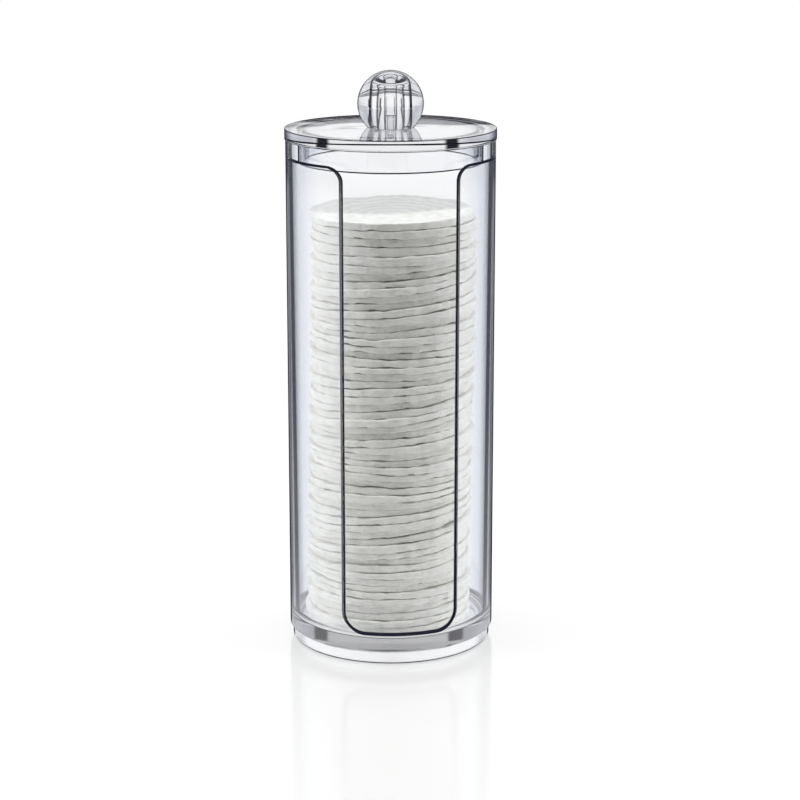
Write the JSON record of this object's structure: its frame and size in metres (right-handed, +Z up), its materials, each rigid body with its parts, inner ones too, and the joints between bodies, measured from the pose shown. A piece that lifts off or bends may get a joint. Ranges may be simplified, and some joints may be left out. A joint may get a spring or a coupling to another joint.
{
  "type": "cotton pad holder",
  "caption": "Clear cylindrical holder for a stack of round cotton pads, with an open front slot, a foot ring and a lift-off lid with a ball knob.",
  "frame": {"origin": "centre of the foot ring at its underside, on the cylinder's axis", "axes": "+Z up along the cylinder's axis; the front opening faces -Y, and +X is to the viewer's right"},
  "size_m": [0.075, 0.075, 0.207],
  "materials": {
    "clear_shell": "clear, polished moulded plastic",
    "clear_lid": "clear, polished moulded plastic",
    "clear_knob": "clear, polished moulded plastic",
    "cotton": "soft pressed cotton wool, off-white"
  },
  "bodies": {
    "holder": {"body_shell": "clear_shell", "pad_01": "cotton", "pad_02": "cotton", "pad_03": "cotton", "pad_04": "cotton", "pad_05": "cotton", "pad_06": "cotton", "pad_07": "cotton", "pad_08": "cotton", "pad_09": "cotton", "pad_10": "cotton", "pad_11": "cotton", "pad_12": "cotton", "pad_13": "cotton", "pad_14": "cotton", "pad_15": "cotton", "pad_16": "cotton", "pad_17": "cotton", "pad_18": "cotton", "pad_19": "cotton", "pad_20": "cotton", "pad_21": "cotton", "pad_22": "cotton", "pad_23": "cotton", "pad_24": "cotton", "pad_25": "cotton", "pad_26": "cotton", "pad_27": "cotton", "pad_28": "cotton", "pad_29": "cotton", "pad_30": "cotton", "pad_31": "cotton", "pad_32": "cotton", "pad_33": "cotton", "pad_34": "cotton", "pad_35": "cotton", "pad_36": "cotton", "pad_37": "cotton", "pad_38": "cotton", "pad_39": "cotton", "pad_40": "cotton", "pad_41": "cotton", "pad_42": "cotton", "pad_43": "cotton", "pad_44": "cotton", "pad_45": "cotton", "pad_46": "cotton", "pad_47": "cotton", "pad_48": "cotton", "pad_49": "cotton", "pad_50": "cotton", "pad_51": "cotton", "pad_52": "cotton", "pad_53": "cotton", "pad_54": "cotton", "pad_55": "cotton", "pad_56": "cotton", "pad_57": "cotton"},
    "lid": {"lid": "clear_lid", "knob": "clear_knob"}
  },
  "joints": [
    {"name": "lid_lift", "type": "slide", "parent": "holder", "child": "lid", "axis": [0, 0, 1], "range_m": [0, 0.05]}
  ]
}
